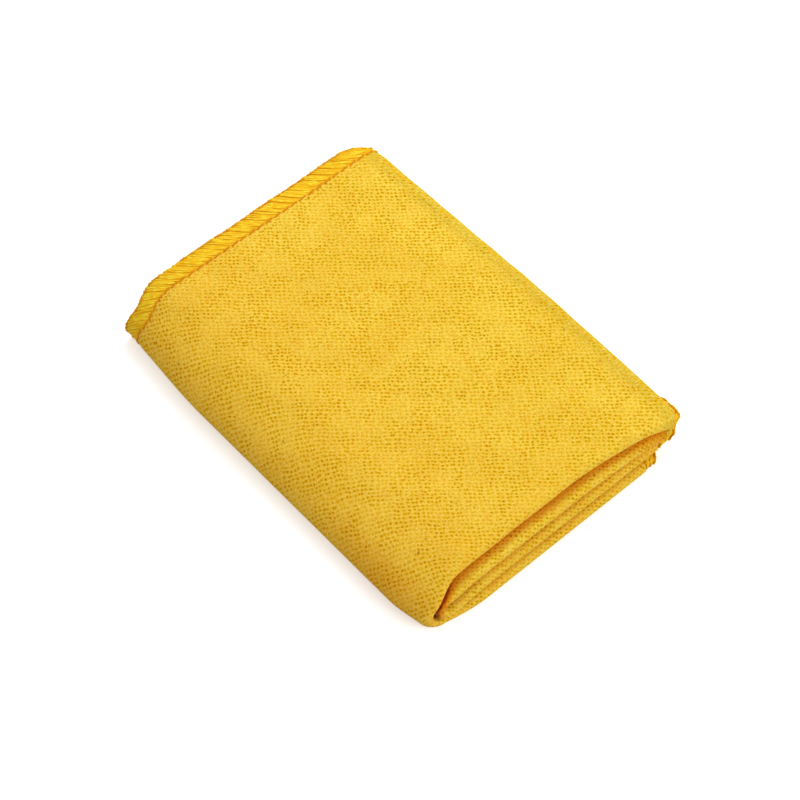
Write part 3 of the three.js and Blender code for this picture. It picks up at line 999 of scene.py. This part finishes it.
# Sheen fades in the hollows and on the crease's painted shade, which darkens the crease further
dull = maths(tree, "ADD", dots, maths(tree, "MULTIPLY", crease_shade, CREASE_SHADE_SHEEN_LOSS))
tree.links.new(remap(tree, dull, 0.0, 0.5, SHEEN, 0.0), shader.inputs["Sheen Weight"])
shader.inputs["Sheen Roughness"].default_value = 0.5
shader.inputs["Sheen Tint"].default_value = SHEEN_TINT
height = maths(tree, "SUBTRACT", maths(tree, "MULTIPLY", nap, NAP_LIFT), dots)
bump = add(tree, "ShaderNodeBump", {"Strength": BUMP, "Distance": BUMP_HEIGHT, "Height": height})
tree.links.new(bump.outputs[0], shader.inputs["Normal"])
print("cloth material", cloth_material.name, "with", len(tree.nodes), "nodes")

# %% [markdown]
# ## The threads
# The hem is sewn with a fluffy yarn in the cloth's own yellow, and the needle thread is a deeper orange,
# as is the painted shade in the gaps between strands. All of them share one recipe: fine fibres stretched
# along the strand, broad soft changes of tone, and a darker line of painted shade at the rim, where a
# strand meets the next.

# %% The threads' materials
FIBRES, BROAD = (900, 6500, 1000), (420, 420, 420)
THREAD_SHEEN, THREAD_BUMP_HEIGHT = 0.05, 0.00015
# The painted shade at the looper yarn's rims
LOOPER_RIM_SHADE = (224, 144, 2)
# Each thread: light tone, dark tone, the tone of its painted rim shade, and bump strength
THREADS = {
    "hem_band": ((253, 202, 10), (246, 182, 4), (246, 186, 4), 0.3),
    "looper_yarn": ((255, 236, 58), (252, 192, 4), LOOPER_RIM_SHADE, 0.6),
    "needle_thread": ((240, 162, 6), (226, 138, 2), (200, 116, 2), 0.4),
    "purl_thread": ((240, 168, 10), (224, 142, 2), (204, 140, 6), 0.4),
}


def thread_material(name, light, dark, line, strength):
    """A thread with a light and a dark tone, and a line of painted shade at the rims between strands."""
    material, tree, shader = new_material(name)
    uv = add(tree, "ShaderNodeUVMap", uv_map="flat").outputs[0]
    fibres = noise(tree, vector_maths(tree, "MULTIPLY", {0: uv, 1: FIBRES}), 0.7, 3.0)[0]
    broad = noise(tree, vector_maths(tree, "MULTIPLY", {0: uv, 1: BROAD}), 1.0, 2.0)[0]
    colour = blend_colour(tree, remap(tree, fibres, 0.35, 0.65), linear(*dark), linear(*light))
    colour = blend_colour(tree, remap(tree, broad, 0.42, 0.6, 0.0, 0.8), colour, linear(*dark))
    # Painted shade at the rims, in the line tone
    colour = blend_colour(tree, remap(tree, mark(tree, "rim_shade"), 0.4, 0.95, 0.0, 0.85), colour, linear(*line))
    tree.links.new(colour, shader.inputs["Base Color"])
    shader.inputs["Roughness"].default_value = 0.8
    shader.inputs["Specular IOR Level"].default_value = 0.2
    shader.inputs["Sheen Weight"].default_value = THREAD_SHEEN
    shader.inputs["Sheen Tint"].default_value = SHEEN_TINT
    inputs = {"Strength": strength, "Distance": THREAD_BUMP_HEIGHT, "Height": fibres}
    bump = add(tree, "ShaderNodeBump", inputs)
    tree.links.new(bump.outputs[0], shader.inputs["Normal"])
    return material


thread_materials = [thread_material(name, *tones) for name, tones in THREADS.items()]
print("threads", [material.name for material in thread_materials])

# %% [markdown]
# ## Giving each piece its finish
# A cloth piece has one material. A hem has four, in the order band, yarn, needle thread and purl, and
# each face already knows which of them it belongs to. The cloth and the threads are separate materials, so
# that each can be given another colour later.

# %% Finishes
for thing in cloth.values():
    thing.data.materials.append(cloth_material)
for thing in hems.values():
    for material in thread_materials:
        thing.data.materials.append(material)
    thing.data.polygons.foreach_set("material_index", list(thing.data["kinds"]))
    del thing.data["kinds"]
print(len(cloth), "cloth pieces and", len(hems), "hems have their finish")

# %% [markdown]
# ## How it opens
# The pack opens like a book: the top two leaves turn over to the left. The top two leaves, the right fold
# and their hems ride on the upper half, the other leaves and hems on the lower half, so the leaves keep
# their shape. The left folds and their hems ride on neither: they are only fixed where they lie, with no
# blend from the lower to the upper half. This is the weak point of the model: they don't follow when the
# pack opens.

# %% Riding on the two halves
LOWER, UPPER = "lower_half", "upper_half"
ON_UPPER = ("leaf_top", "leaf_second", "fold_right", "hem_top_upper", "hem_top_lower", "hem_second_upper",
            "hem_second_lower", "hem_right_outside", "hem_right_inside")
# The left folds: x, and the heights between which the cloth passes from the lower half to the upper
BENDS = {"left_outer": (-0.0414, 0.0032, 0.0099), "left_inner": (-0.0364, 0.0048, 0.0061)}


def join_frame(thing, node):
    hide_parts(node)
    for fold_name, (x, low, high) in BENDS.items():
        if fold_name in node:
            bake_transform(thing)
            return
    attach(thing, UPPER if node in ON_UPPER else LOWER)


for piece, (_, node) in CLOTH.items():
    join_frame(cloth[piece], node)
for node, thing in hems.items():
    join_frame(thing, node)
print(len(ON_UPPER), "pieces ride on the upper half;", len(BENDS), "folds bend")

# %% [markdown]
# ## The sheets
# Each stretch of cloth is a folded sheet, whose flat size is its length along the path by twice its
# depth, since it is folded at the nose. Here each sheet only gathers its pieces: its hems, and for a leaf
# with a narrow fold, that fold and its hems too. The two narrow folds are only a few millimetres of the
# same cloth, so each goes with the leaf that it belongs to.

# %% Gathering each sheet's pieces
NARROW = {"top": "right", "third": "left_inner"}


def hems_of(run):
    ends = [hems[node] for node in hems if node == "hem_end_" + run]
    return [hems[node] for node in FAR_HEMS[run]] + ends


for piece, (run, node) in CLOTH.items():
    if run in NARROW.values():
        continue
    own = hems_of(run)
    if run in NARROW:
        own += [cloth["duster_fold_" + NARROW[run]]] + hems_of(NARROW[run])

# %% [markdown]
# ## The floor
# The photograph has a plain white ground. A pale floor that looks white to the camera gives the same,
# and still keeps the cloth's faint shadow. It glows only for the camera: to the cloth it is a plain pale
# surface, so the object's light stays as it is set below.

# %% The floor
FLOOR_SIZE, FLOOR_DROP = 6.0, 0.0002
FLOOR_TONE, FLOOR_GLOW = 0.75, 0.42

bpy.ops.object.select_all(action="DESELECT")
bpy.ops.mesh.primitive_plane_add(size=FLOOR_SIZE, location=(0, 0, -FLOOR_DROP))
floor = bpy.context.object
floor.name = "floor"
floor_material, tree, shader = new_material("pale_floor")
seen = add(tree, "ShaderNodeLightPath").outputs["Is Camera Ray"]
floor_colour = blend_colour(tree, seen, (FLOOR_TONE, FLOOR_TONE, FLOOR_TONE, 1), (1.0, 1.0, 1.0, 1))
tree.links.new(floor_colour, shader.inputs["Base Color"])
shader.inputs["Emission Color"].default_value = (1, 1, 1, 1)
tree.links.new(remap(tree, seen, 0.0, 1.0, 0.0, FLOOR_GLOW), shader.inputs["Emission Strength"])
shader.inputs["Roughness"].default_value = 1.0
shader.inputs["Specular IOR Level"].default_value = 0.0
floor.data.materials.append(floor_material)
print("floor of", FLOOR_SIZE, "m")

# %% [markdown]
# ## The light
# Most of the light is an even pale surround, as the photo's soft shade suggests. A small key lamp from the far right makes the top brighter than the left flank and draws the noses of the
# leaves, and a weak lamp from the near side keeps that side from going grey. The colours are shown
# without a film curve, so that white stays white.

# %% The light
KEY_PLACE, KEY_ENERGY = (0.27, 0.18, 0.28), 0.93
FILL_PLACE, FILL_ENERGY = (0.12, -0.45, 0.30), 0.9
LAMP_SIZE = 0.30
SURROUND, BACKGROUND = 0.575, 1.0


def lamp(name, location, energy):
    """A square lamp that points at the middle of the pack."""
    bpy.ops.object.select_all(action="DESELECT")
    bpy.ops.object.light_add(type="AREA", location=location)
    made = bpy.context.object
    made.name = name
    made.data.shape = "SQUARE"
    made.data.size = LAMP_SIZE
    made.data.energy = energy
    made.rotation_euler = (-made.location).to_track_quat("-Z", "Y").to_euler()


lamp("key_lamp", KEY_PLACE, KEY_ENERGY)
lamp("fill_lamp", FILL_PLACE, FILL_ENERGY)

world = bpy.context.scene.world or bpy.data.worlds.new("world")
bpy.context.scene.world = world
world.use_nodes = True
tree = world.node_tree
ground = tree.nodes["Background"]
seen = add(tree, "ShaderNodeLightPath").outputs["Is Camera Ray"]
ground.inputs["Color"].default_value = (1, 1, 1, 1)
tree.links.new(remap(tree, seen, 0.0, 1.0, SURROUND, BACKGROUND), ground.inputs["Strength"])
bpy.context.scene.view_settings.view_transform = "Standard"
print("two lamps and a surround of", SURROUND)
